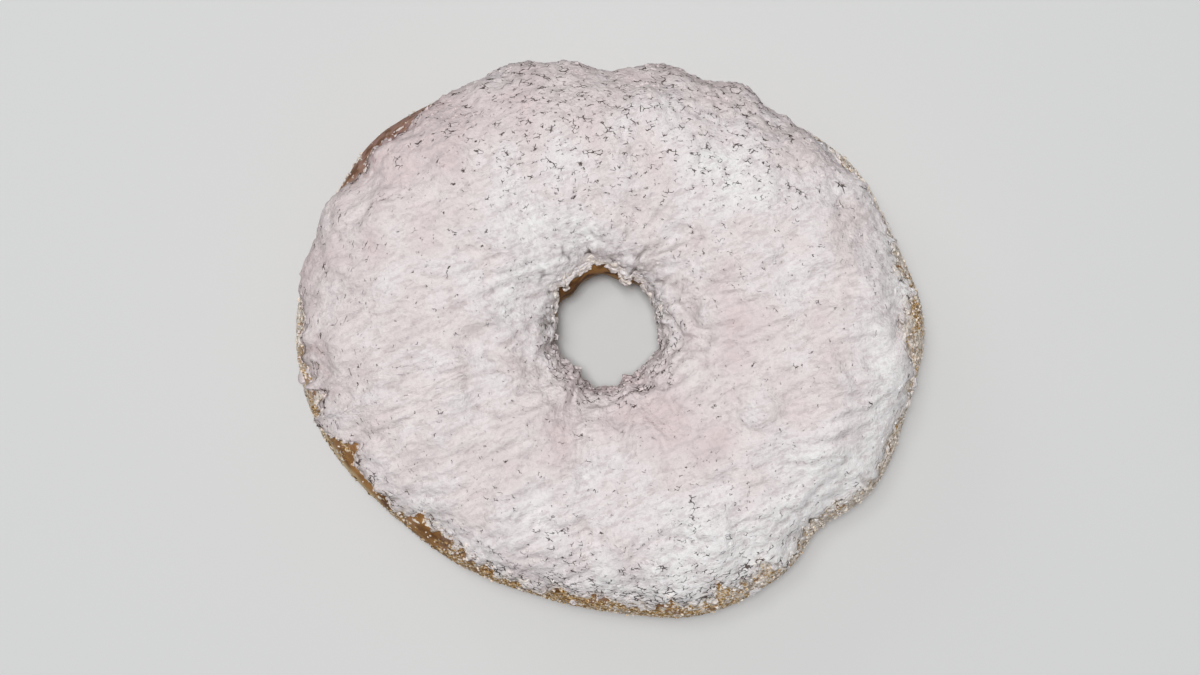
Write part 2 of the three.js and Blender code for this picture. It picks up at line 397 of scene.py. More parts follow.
def make_piece(name, points, faces, material, attributes, smooth=True):
    """A mesh object at the origin from arrays of points and of faces, with a number or a place for each
    point under each attribute's name, riding on the one body. Its faces blend smoothly or stay flat."""
    mesh = bpy.data.meshes.new(name)
    mesh.from_pydata(points.reshape(-1, 3).tolist(), [], faces.tolist(), shade_flat=not smooth)
    for attribute, values in attributes.items():
        kind, field = ("FLOAT_VECTOR", "vector") if values.size == points.size else ("FLOAT", "value")
        layer = mesh.attributes.new(attribute, kind, "POINT")
        layer.data.foreach_set(field, values.astype(np.float32).ravel())
    mesh.materials.append(material)
    piece = add_object(name, mesh)
    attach(piece, "root")
    return piece


def loop_faces(count, stations):
    """Four-sided faces of a surface that closes on itself both ways: a count of sections round the
    ring, each of so many stations."""
    i, j = np.meshgrid(np.arange(count), np.arange(stations), indexing="ij")
    i, j = i.ravel(), j.ravel()
    after_i, after_j = (i + 1) % count, (j + 1) % stations
    corners = (i * stations + j, after_i * stations + j, after_i * stations + after_j, i * stations + after_j)
    return np.stack(corners, -1)


def skin_grid(count, stations, back_stations):
    """Theta of each section of a closed skin, and the shares of the way over its face and then back
    behind it at which its stations lie."""
    theta = np.arange(count)[:, None] * 2 * np.pi / count
    return theta, np.linspace(0, 1, stations)[None], np.linspace(1, 0, back_stations + 2)[None, 1:-1]


def with_back(numbers, back):
    """Each named set of a skin's face numbers, followed by zeros for the stations behind it."""
    return {name: np.concatenate([values, 0 * back], 1) for name, values in numbers.items()}


def icosahedron():
    """The 12 corners and 20 faces of an icosahedron: corners at the golden ratio, and a face wherever
    three corners are one edge, of length 2, apart, wound so that it points outwards."""
    golden = (1 + 5**0.5) / 2
    corners = [(0, a, b * golden) for a in (-1, 1) for b in (-1, 1)]
    corners = np.array([np.roll(corner, turn_by) for turn_by in range(3) for corner in corners])
    faces = []
    for triple in itertools.combinations(range(12), 3):
        a, b, c = corners[list(triple)]
        if max(np.linalg.norm(a - b), np.linalg.norm(b - c), np.linalg.norm(c - a)) < ABOVE_ONE_EDGE:
            faces.append(triple if np.dot(np.cross(b - a, c - a), a) > 0 else triple[::-1])
    return corners / np.linalg.norm(corners[0]), np.array(faces)


def finer(corners, faces):
    """Splits each face of a ball into four, with the new corners pushed out to the ball."""
    edges = np.sort(np.concatenate([faces[:, [0, 1]], faces[:, [1, 2]], faces[:, [2, 0]]]), 1)
    unique, index = np.unique(edges, axis=0, return_inverse=True)
    middles = corners[unique].mean(1)
    middles /= np.linalg.norm(middles, axis=1, keepdims=True)
    ab, bc, ca = index.reshape(3, -1) + len(corners)
    a, b, c = faces.T
    split = [(a, ab, ca), (ab, b, bc), (ca, bc, c), (ab, bc, ca)]
    return np.concatenate([corners, middles]), np.concatenate([np.stack(one, -1) for one in split])


def random_turns(random, count):
    """Even random rotations, as matrices: each from four bell-curve numbers made a unit quaternion."""
    drawn = random.normal(size=(count, 4))
    w, x, y, z = drawn.T / np.linalg.norm(drawn, axis=1)
    rows = [
        [1 - 2 * (y * y + z * z), 2 * (x * y - z * w), 2 * (x * z + y * w)],
        [2 * (x * y + z * w), 1 - 2 * (x * x + z * z), 2 * (y * z - x * w)],
        [2 * (x * z - y * w), 2 * (y * z + x * w), 1 - 2 * (x * x + y * y)],
    ]
    return np.moveaxis(np.array(rows), -1, 0)


def lumps_at(places, sizes, away, flatness, random, ball):
    """Closed knobbly lumps: a ball whose corners move in or out by up to a third, drawn out along
    random axes, turned at random, flattened along the direction away from the crust, and set at each
    place with its size as its width."""
    corners, faces = ball
    count = len(places)
    knobs = 1 + random.uniform(-0.34, 0.34, (count, len(corners), 1))
    stretch = random.uniform(0.65, 1.35, (count, 1, 3))
    turned = np.einsum("nij,nkj->nki", random_turns(random, count), corners * knobs * stretch)
    height = np.sum(turned * away[:, None], -1, keepdims=True)
    squashed = turned - (1 - flatness) * height * away[:, None]
    points = places[:, None] + squashed * sizes[:, None, None] / 2
    all_faces = faces[None] + (np.arange(count) * len(corners))[:, None, None]
    return points.reshape(-1, 3), all_faces.reshape(-1, 3)


# Fried dough
DOUGH_AROUND = 480
DOUGH_STATIONS = 206
PALE_HALF_WIDTH = 2.4 * MM
# The burnt patches: degrees below the coat's edge, over how many they thin out, their strength, and
# how much of the melted sugar they hide
BURNT_BELOW = 3
BURNT_REACH = 8
BURNT_STRENGTH = 1.8
BURNT_HIDES = 0.72


def crust_relief(points):
    """Heights of the crust: slow swellings, blisters a few millimetres wide and fine puckers."""
    return MM * cloud_layers(points, (0.12, 7, 11), (0.07, 2.6, 17), (0.03, 1.1, 23))


def browning(ring, points, phi):
    """How brown the crust is, from 0 in the pale band to 1 well above and below it: the band's height
    and width wander round the ring."""
    plan = points * (1, 1, 0)
    middle = ring.equator + MM * (clouds(plan, 16 * MM, 31) + rises(PALE_RISES, around(points)))
    width = PALE_HALF_WIDTH * (1 + 0.35 * clouds(plan, 9 * MM, 37))
    away = np.abs(points[..., 2] - middle + 0.5 * MM * clouds(points, 2 * MM, 41))
    in_hole = smoothstep(-np.cos(phi), 0.2, 0.7)
    return np.maximum(smoothstep(away, width * 0.5, width * 1.5), 0.75 * in_hole)


def burnt_patches(points, phi):
    """Dark patches in the melted sugar, thickest along a line a little below the coat's listed edge:
    a bell across that line, where sugar has melted, broken up by clouds of two sizes."""
    theta = around(points)
    below = (height_along(OUTER_EDGE, theta) - BURNT_BELOW - np.degrees(phi)) / BURNT_REACH
    spread = smoothstep(cloud_layers(points, (1, 1.8, 167), (0.5, 0.8, 169)), -0.05, 0.08)
    return np.clip(BURNT_STRENGTH * bell(below) * rises(MELT_RISES, theta), 0, 1) * spread


def darkening(points, phi, burnt):
    """How much darker the crust is: where fused sugar covers it, it is darker between the lumps, partly
    browned melted sugar and partly painted shade in the gaps, and the bare rim and the hole's wall have
    darker patches."""
    theta = around(points)
    on_rim = smoothstep(np.cos(phi), 0.2, 0.5)
    # Painted shade, partly browning, in the gaps between the fused lumps
    between = smoothstep(height_along(RIM_COVER, theta), 0.15, 0.5) * on_rim
    bare = np.clip(rises(DARK_RISES, theta) * (1 + clouds(points, 2 * MM, 45)), 0, 1) * on_rim
    in_hole = smoothstep(-np.cos(phi), 0.5, 0.9) * smoothstep(clouds(points, 2.4 * MM, 43), -0.2, 0.2)
    return np.maximum.reduce([0.5 * between, bare, burnt, in_hole])


def dusting(points):
    """How thickly fine sugar veils the crust: it settles on what faces up, outside the hole, drifts in
    patches, and is thicker or thinner where the table says."""
    facing = smoothstep(points[..., 2], 10 * MM, 22 * MM) * smoothstep(from_axis(points), 10 * MM, 24 * MM)
    drift = 0.2 + 0.3 * clouds(points, 5 * MM, 103) + rises(VEIL_RISES, around(points))
    return np.clip(facing * drift, 0, 1)


def melting(points):
    """How thickly sugar has melted over the crust, which turns it mauve: in the rim's listed places,
    fading out below the widest line."""
    facing = smoothstep(points[..., 2], 9 * MM, 14 * MM) * smoothstep(from_axis(points), 24 * MM, 30 * MM)
    drift = rises(MELT_RISES, around(points)) * (1 + 0.3 * clouds(points, 3 * MM, 163))
    return np.clip(facing * drift, 0, 0.9)


class DOUGHNUT_OT_fried_ring(Operator):
    """Make the ring of fried dough, browned above and below its pale band"""

    bl_idname = "doughnut.fried_ring"
    bl_label = "Fried ring"

    def execute(self, context):
        ring = context.scene.doughnut_ring
        theta = np.arange(DOUGH_AROUND)[:, None] * 2 * np.pi / DOUGH_AROUND
        phi = np.arange(DOUGH_STATIONS)[None] * 2 * np.pi / DOUGH_STATIONS
        points = ring_point(ring, theta, phi, crust_relief(ring_point(ring, theta, phi, 0.0)))
        burnt = burnt_patches(points, phi)
        tints = {
            "browning": browning(ring, points, phi),
            "dusting": dusting(points) * (1 - burnt),
            "darkening": darkening(points, phi, burnt),
            "melting": melting(points) * (1 - BURNT_HIDES * burnt),
        }
        material = crust_material(ring, context.scene.doughnut_sugar)
        faces = loop_faces(DOUGH_AROUND, DOUGH_STATIONS)
        piece = make_piece("fried_ring", points, faces, material, tints)
        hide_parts("dough_ring")
        return {"FINISHED"}


# Caked sugar. A share is how far over the coat a point lies, from its torn outer edge to the hole.
# The tapers and the cracked and browned widths are such shares. The coat hangs down the side fully
# where its edge lies below the first angle of COVER_UP_TO, and not at all above the second. EDGE_DROP
# is in degrees, and a clump spans CLUMP_DROP times as many degrees of phi as of theta.
COAT_AROUND = 880
COAT_STATIONS = 106
COAT_BACK_STATIONS = 6
COAT_SEAT = -0.2 * MM
COAT_TAPER = 0.14
STEEP_TAPER = 0.05
COVER_UP_TO = (12, 30)
TEAR_SHARPNESS = 8
TEAR_RADIUS = 40 * MM
CLUMP_DROP = 3
SMOOTH_WITHIN = 11 * MM
LUMPY_BEYOND = 20 * MM
LUMP_LENGTH = 8.5 * MM
LUMP_SPREAD = 0.25
LUMP_WAVES = 22
LUMP_SEED = 20
LUMP_STEP = 16807
LUMP_RANGE = 2147483647
RIPPLE_STRETCH = 2.7
SECTION_RADIUS = 17 * MM
EDGE_DROP = 5
EDGE_SHARE = 0.06
CRACKED_WIDTH = 0.045
BROWNED_WIDTH = 0.05
RIM_SINK = 0.8 * MM
RIM_STAND = 0.22 * MM
LIP_SINK = 0.6 * MM
LEAST_OUTSIDE = -0.12 * MM
HOLLOW_FROM = -0.05 * MM
HOLLOW_TO = 0.45 * MM


def big_lumps(points):
    """The coat's biggest lumps, as in its solid: waves of like length in random directions, added."""
    seed = LUMP_SEED
    total = np.zeros(points.shape[:-1])
    for _ in range(LUMP_WAVES):
        draws = []
        for _ in range(4):
            seed = seed * LUMP_STEP % LUMP_RANGE
            draws.append(seed / LUMP_RANGE)
        up = 2 * draws[0] - 1
        flat = math.sqrt(1 - up * up)
        round_angle = 2 * math.pi * draws[1]
        length = LUMP_LENGTH * (1 + LUMP_SPREAD * (2 * draws[2] - 1))
        way = np.array([flat * math.cos(round_angle), flat * math.sin(round_angle), up])
        total += np.sin(points @ way * (2 * math.pi / length) + 2 * math.pi * draws[3])
    return total * math.sqrt(2 / LUMP_WAVES)


def coat_angle(theta, share):
    """The section angle at a share of the way over the coat: from a little below its listed outer edge
    to its listed edge in the hole, with waves and finer random tears that fade out quickly away from
    each edge."""
    outer = height_along(OUTER_EDGE, theta) - EDGE_DROP
    inner = 180 - height_along(INNER_EDGE, theta)
    fine = np.stack([np.cos(theta), np.sin(theta), 0 * theta], -1) * TEAR_RADIUS
    outer_fine = cloud_layers(fine, (4.5, 3.5, 51), (6.5, 1.4, 53))
    inner_fine = cloud_layers(fine, (4.5, 9, 57), (4, 4.5, 59))
    outer_tear = (waves(TEAR_WAVES, theta) + outer_fine) * (1 - share) ** TEAR_SHARPNESS
    inner_tear = (waves(TEAR_WAVES, theta + 1) + inner_fine) * share**TEAR_SHARPNESS
    return np.radians(lerp(outer, inner, share) + outer_tear + inner_tear)


def clump_height(theta, phi):
    """How far the clumps at the rim stand out: bell-shaped rises, longer down the side than round."""
    up = np.degrees(phi)
    return sum(
        out * MM * bell(turn(at, theta) / wide) * bell((up - middle) / (CLUMP_DROP * wide))
        for at, middle, out, wide in RIM_CLUMPS
    )


def ripple_strength(points):
    """How strongly the sifting ripples show: not at all in the ring's upper third except at its left,
    and faintly close by its lower rim."""
    wander = 5 * MM * clouds(points, 12 * MM, 61)
    upper = smoothstep(points[..., 1] + wander, 8 * MM, 22 * MM)
    left = smoothstep(-points[..., 0], 18 * MM, 30 * MM)
    lower = smoothstep(-points[..., 1] + wander, 26 * MM, 36 * MM)
    return (1 - upper * (1 - 0.8 * left)) * (1 - 0.7 * lower)


def lip_lumps(sugar, share, points):
    """Heights of the lumps that stand round the hole's lip, and how deep in the gaps between lumps each
    point lies, there and along the outer edge, as a share of painted shade."""
    nearest, _ = pebbles(points, 1.25 * sugar.pebble, 151)
    by_lip = smoothstep(share, 0.74, 0.93)
    by_edge = 1 - smoothstep(share, 0.0, 0.12)
    clefts = smoothstep(nearest, 0.62, 0.82) * smoothstep(clouds(points, 2 * MM, 157), -0.5, 0.1)
    height = 1.5 * sugar.pebble_height * (0.4 - nearest**2) * by_lip
    return height, clefts * np.maximum(by_lip, 0.7 * by_edge)


def fine_relief(sugar, points):
    """Heights of the caked sugar's small forms: ripples whose crests run up to the right, waver and
    break off, puffs of two sizes that meet in creases, rounded lumps, and a fine unevenness."""
    x, y, z = np.moveaxis(points, -1, 0)
    crest = (x * math.cos(sugar.ripple_way) + y * math.sin(sugar.ripple_way)) / RIPPLE_STRETCH
    across = y * math.cos(sugar.ripple_way) - x * math.sin(sugar.ripple_way)
    across = across + 0.9 * MM * clouds(points, 6 * MM, 67)
    drawn_out = np.stack([crest, across, z], -1)
    rolls = 1.7 * (np.abs(clouds(drawn_out, 1.15 * sugar.ripple_length, 71)) - 0.33)
    start = 1.5 * clouds(drawn_out, 3 * MM, 73)
    ripple = rolls + 0.3 * np.sin(2 * math.pi * across / sugar.ripple_length + start)
    strength = ripple_strength(points)
    domes = 0.5 - pebbles(points, sugar.pebble, 79)[0] ** 2
    small_domes = 0.5 - pebbles(points, sugar.pebble * 0.55, 83)[0] ** 2
    puffs = np.abs(clouds(points, 1.7 * MM, 89)) - 0.3
    small_puffs = np.abs(clouds(points, 0.9 * MM, 97)) - 0.3
    return (
        sugar.ripple_height * ripple * strength
        + sugar.pebble_height * (1.2 - 0.75 * strength) * (domes + 0.45 * small_domes)
        + sugar.puff_height * (puffs + 0.5 * small_puffs)
        + 0.2 * MM * clouds(points, 3.4 * MM, 101)
    )


def rim_covered(theta):
    """How far down the coat hangs: 1 where it passes the widest line, and where its edge is sunk into
    the crust, and 0 where it ends well above."""
    hanging = 1 - smoothstep(height_along(OUTER_EDGE, theta), *COVER_UP_TO)
    return np.maximum(hanging, np.minimum(rises(SUNK_RISES, theta), 1))


def relief_sink(theta, share):
    """How far the coat's face lies in towards its two ends. Where it hangs over the rim it lies in, so
    that its forms stand no further out than the ring's outline. Where it ends on the shoulder it
    stands out instead. In the hole it lies in most in the lower half."""
    by_rim = 1 - smoothstep(share, 0.06, 0.3)
    by_hole = smoothstep(share, 0.78, 0.95) * (1 - np.sin(theta)) / 2
    return lerp(-RIM_STAND, RIM_SINK, rim_covered(theta)) * by_rim + LIP_SINK * by_hole


def coat_outside(ring, sugar, theta, phi, share):
    """How far the coat's outer face stands off the dough: its thickness with lumps, thinning to the
    edges, with the rim's clumps and the fine forms on it. Also how deep in hollows and in the gaps
    between lumps each point lies, as shares of painted shade."""
    points = ring_point(ring, theta, phi, 0.0)
    shift = frame_shift(ring)
    from_hole = from_axis(points - shift - (ring.hole_x, ring.hole_y, 0))
    lump = sugar.lump_height * big_lumps(points - shift) * smoothstep(from_hole, SMOOTH_WITHIN, LUMPY_BEYOND)
    full = np.maximum(sugar.thickness + lump, sugar.least)
    rim_taper = lerp(STEEP_TAPER, COAT_TAPER, rim_covered(theta))
    taper = smoothstep(share / rim_taper, 0, 1) * smoothstep(1 - share, 0, COAT_TAPER)
    by_rim = 1 - smoothstep(share, 0.05, 0.3)
    fine = fine_relief(sugar, points) * lerp(0.7, 1, taper) * (1 - 0.55 * by_rim * rises(CALM_RISES, theta))
    lip, cleft = lip_lumps(sugar, share, points)
    outside = lerp(sugar.edge, full, taper) + clump_height(theta, phi) + fine + lip
    outside = np.maximum(outside - relief_sink(theta, share), LEAST_OUTSIDE)
    # Painted shade: darker where the fine forms dip, with less of it by the hole and by the rim
    hollow = smoothstep(-fine, HOLLOW_FROM, HOLLOW_TO) * (1 - 0.75 * smoothstep(share, 0.8, 0.95))
    return outside, hollow * (1 - 0.85 * by_rim), cleft


def speckling(points):
    """How thickly dark specks and cracks lie: thick in the upper third, along the lower rim and round
    the hole, and thin elsewhere."""
    wander = 6 * MM * clouds(points, 9 * MM, 101)
    x, y, radius = points[..., 0], points[..., 1], from_axis(points)
    middle = smoothstep(x + wander, -32 * MM, -10 * MM)
    upper = smoothstep(y + wander, 6 * MM, 38 * MM) * (0.12 + 0.88 * middle)
    lower = smoothstep(-y + wander, 22 * MM, 38 * MM) * (0.3 + 0.7 * middle)
    rim = smoothstep(radius + 0.4 * wander, 37 * MM, 46 * MM) * (1 - 0.6 * smoothstep(x, 20 * MM, 36 * MM))
    lip = 1 - smoothstep(radius, 9 * MM, 13 * MM)
    return np.clip(0.08 + 0.84 * upper + 0.76 * lower + 0.38 * rim + 1.16 * lip, 0, 1.3)


def pinkness(points):
    """How far the sugar is mixed towards its faintly pinkish shade colour. Fat drawn in turns it so in
    drifting patches. The rest is painted shade and painted light, as if lit from the lower right: more
    along the top and left rim, less at the lower right, and more or less where the table says."""
    x, y = points[..., 0] / MM, points[..., 1] / MM
    drift = cloud_layers(points, (0.3, 13, 105), (0.25, 5, 106))
    # Painted shade along the top and left rim, and painted light at the lower right, as if lit from the lower
    # right
    rim_shade = 0.4 * smoothstep(y, 22, 40) + 0.3 * smoothstep(-x, 30, 44)
    lower_right_light = 0.5 * smoothstep(0.6 * x - 0.8 * y, 26, 40)
    patches = sum(
        share * bell((x - at_x) / wide) * bell((y - at_y) / tall)
        for at_x, at_y, wide, tall, share in PINK_SHADE_PATCHES
    )
    return np.clip(0.38 + drift + rim_shade - lower_right_light + patches, 0, 1)


def drawn_round(theta, phi, points):
    """The places that the crack pattern is read at, in which it is drawn out round the ring near the
    rim: a circle as wide as the point's, less near the rim, and the way along the section."""
    radius = from_axis(points)
    drawn = radius / (1 + 0.7 * smoothstep(radius, 34 * MM, 44 * MM))
    theta, phi = np.broadcast_arrays(theta, phi)
    return np.stack([drawn * np.cos(theta), drawn * np.sin(theta), SECTION_RADIUS * phi], -1)


def edge_tints(theta, share, face):
    """What the crust does to the coat near its edges. Fat soaks in at both, the outer edge fuses where
    it isn't sunk, and over the bare crust it melts in patches and, just by the edge, browns."""
    ragged = share + 0.02 * clouds(face, 2.2 * MM, 161)
    by_rim = 1 - smoothstep(ragged, 0.0, 0.07)
    by_bare = np.clip(rises(MELT_RISES, theta), 0, 1)
    patchy = smoothstep(clouds(face, 1.3 * MM, 171), -0.25, 0.15) * (1 - smoothstep(ragged, 0.05, 0.2))
    torn = smoothstep(cloud_layers(face, (1, 1.5, 173), (0.5, 0.7, 175)), 0.0, 0.15)
    browned = 0.95 * torn * by_bare * bell((share - EDGE_SHARE) / BROWNED_WIDTH)
    return {
        "soak": 0.6 * by_rim + 0.75 * smoothstep(ragged, 0.91, 0.98),
        "fused": 0.75 * by_rim * (1 - 0.5 * rim_covered(theta)),
        "stain": browned,
        "melting": 0.9 * patchy * by_bare * (1 - browned),
    }


class DOUGHNUT_OT_sugar_coat(Operator):
    """Make the caked coat of icing sugar, a closed skin seated on the dough"""

    bl_idname = "doughnut.sugar_coat"
    bl_label = "Sugar coat"

    def execute(self, context):
        ring, sugar = context.scene.doughnut_ring, context.scene.doughnut_sugar
        theta, share, back_share = skin_grid(COAT_AROUND, COAT_STATIONS, COAT_BACK_STATIONS)
        phi = coat_angle(theta + 0 * share, share)
        back_phi = coat_angle(theta + 0 * back_share, back_share)
        outside, hollow, cleft = coat_outside(ring, sugar, theta, phi, share)
        face = ring_point(ring, theta, phi, outside)
        points = np.concatenate([face, ring_point(ring, theta, back_phi, COAT_SEAT)], 1)
        speckles = speckling(points)
        by_edge = bell((share - EDGE_SHARE) / CRACKED_WIDTH)
        speckles[:, :COAT_STATIONS] += height_along(EDGE_CRACKS, theta) * by_edge
        tints = {"speckling": speckles, "pinkness": pinkness(points)}
        tints |= with_back({"hollow": hollow, "cleft": cleft} | edge_tints(theta, share, face), back_phi)
        tints["crack_place"] = drawn_round(theta, np.concatenate([phi, back_phi], 1), points)
        faces = loop_faces(COAT_AROUND, COAT_STATIONS + COAT_BACK_STATIONS)
        piece = make_piece("caked_sugar", points, faces, sugar_material(sugar), tints)
        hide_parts("sugar_coat")
        return {"FINISHED"}


# Sugar fused to the rim. A share is how far down a point lies, from some degrees above the coat's
# outer edge, under the coat, to some degrees below the widest line.
FUSED_AROUND = 1240
FUSED_STATIONS = 76
FUSED_BACK_STATIONS = 3
FUSED_ABOVE = 8
FUSED_BELOW = -30
FUSED_SUNK = -0.3 * MM
FUSED_END = 0.05
# Width, height, how often there, and the pattern's number of each kind of lump
FUSED_LUMPS = ((0.95 * MM, 0.9, 1.0, 109), (0.5 * MM, 0.75, 0.9, 127))
FUSED_BENDS = (133, 135, 137)
DOME_REACH = 0.74
CREVICE_SHADE_BELOW = 0.14 * MM
FUSED_FLOOR = 0.04 * MM


def fused_outside(sugar, theta, phi, share, points):
    """How far the fused sugar stands off the crust. It is rounded lumps of two widths, of which only a
    share is there, as the rim's table says, and fewer of them by the coat's edge and low down. Between
    them is a thin glaze where they are thick, and elsewhere it passes under the crust, which shows."""
    cover = height_along(RIM_COVER, theta) + 0.22 * clouds(points, 5 * MM, 107)
    by_coat = 0.12 * (1 - smoothstep(share, 0.18, 0.32))
    cover = (cover - by_coat) * smoothstep(np.degrees(phi), -26, -8)
    ends = smoothstep(np.minimum(share, 1 - share), 0, FUSED_END)
    outside = lerp(FUSED_SUNK, FUSED_FLOOR, smoothstep(cover, 0.5, 0.75) * ends)
    bent = points + 0.25 * MM * np.stack([clouds(points, 0.8 * MM, seed) for seed in FUSED_BENDS], -1)
    for width, height, often, seed in FUSED_LUMPS:
        nearest, number = pebbles(bent, width, seed)
        dome = np.sqrt(np.clip(1 - (nearest / DOME_REACH) ** 2, 0, 1)) * ends
        tall = sugar.fused_height * height * (0.7 + 0.5 * (number * 7 % 1)) - FUSED_SUNK
        outside = np.maximum(outside, np.where(number < often * cover, FUSED_SUNK + tall * dome, FUSED_SUNK))
    return outside


def gilding(theta, phi, points):
    """How golden the fused sugar is: as the rim's table says, in patches, and lighter by the widest line,
    which is painted light for the sides that face sideways.
    """
    patches = cloud_layers(points, (0.3, 2.6, 137), (0.2, 1.1, 139))
    # Painted light: lighter towards the widest line, where the sides face sideways
    side_light = 0.35 * (1 - smoothstep(np.degrees(phi), 0, 14))
    return np.clip(height_along(RIM_GOLD, theta) + patches - side_light, 0.1, 1)


def crevice_shade_and_stain(theta, phi, outside, points):
    """How dark brown the low ground between the fused lumps is, partly a thin brown glaze and partly
    painted shade in the crevices: in patches, more where the sugar has turned golden, and less by the
    widest line, which is painted light for the sides that face sideways."""
    # Painted shade, with the brown glaze, where the fused sugar lies low between lumps
    thin = 1 - smoothstep(outside, 0, CREVICE_SHADE_BELOW)
    patches = np.clip(0.7 + 0.6 * clouds(points, 0.9 * MM, 165), 0.25, 1)
    by_gold = 0.3 + 0.75 * height_along(RIM_GOLD, theta)
    # Painted light: less of it towards the widest line
    return thin * patches * by_gold * (0.5 + 0.5 * smoothstep(np.degrees(phi), -2, 14))


class DOUGHNUT_OT_fused_sugar(Operator):
    """Make the lumps of sugar fused to the crust below the coat's outer edge"""

    bl_idname = "doughnut.fused_sugar"
    bl_label = "Fused sugar"

    def execute(self, context):
        ring, sugar = context.scene.doughnut_ring, context.scene.doughnut_sugar
        theta, share, back_share = skin_grid(FUSED_AROUND, FUSED_STATIONS, FUSED_BACK_STATIONS)
        top = np.degrees(coat_angle(theta, 0 * theta)) + FUSED_ABOVE
        phi = np.radians(lerp(top, FUSED_BELOW, share))
        back_phi = np.radians(lerp(top, FUSED_BELOW, back_share))
        crust = ring_point(ring, theta, phi, 0.0)
        outside = fused_outside(sugar, theta, phi, share, crust)
        face = ring_point(ring, theta, phi, outside)
        points = np.concatenate([face, ring_point(ring, theta, back_phi, 3 * FUSED_SUNK)], 1)
        soak = 0.55 + 0.5 * smoothstep(share, 0.1, 0.6) * (0.5 + clouds(crust, 1.6 * MM, 131))
        stain = crevice_shade_and_stain(theta, phi, outside, crust)
        tints = {"soak": np.clip(soak, 0, 1), "stain": stain, "fused": gilding(theta, phi, crust)}
        tints = with_back(tints, back_phi) | {"crack_place": points}
        faces = loop_faces(FUSED_AROUND, FUSED_STATIONS + FUSED_BACK_STATIONS)
        make_piece("fused_sugar", points, faces, sugar_material(sugar), tints)
        return {"FINISHED"}


# Loose grains and clumps. The rim's grains lie down to an angle below the widest line, and a share of
# the small clumps is at the hole.
GRAIN_SEED = 7
GRAINS_DOWN_TO = -24
AT_HOLE = 0.4


def on_coat(ring, sugar, theta, share, sunk):
    """Places on the coat's outer face, each sunk by a distance, and the directions out of it there."""
    phi = coat_angle(theta, share)
    outside, _, _ = coat_outside(ring, sugar, theta, phi, share)
    return ring_point(ring, theta, phi, outside - sunk), outward(ring, theta, phi)


def grain_sizes(random, count, usual, spread, least, most):
    """Random sizes in metres, from numbers in millimetres: their logarithms lie on a bell curve round
    the usual size's, and they are kept between a least and a largest."""
    return MM * np.exp(random.normal(math.log(usual), spread, count)).clip(least, most)


def make_grains(name, places, away, sizes, flatness, soak, golden, random, sugar, ball):
    """One piece of scattered sugar lumps, with how fat-soaked, how golden and how pinkish each is, the
    pinkish share also holding painted shade.
    """
    points, faces = lumps_at(places, sizes, away, flatness, random, ball)
    each = {"soak": np.clip(soak, 0, 1), "fused": golden, "pinkness": pinkness(places)}
    attributes = {key: np.repeat(value, len(points) // len(places)) for key, value in each.items()}
    make_piece(name, points, faces, sugar_material(sugar), attributes, smooth=False)


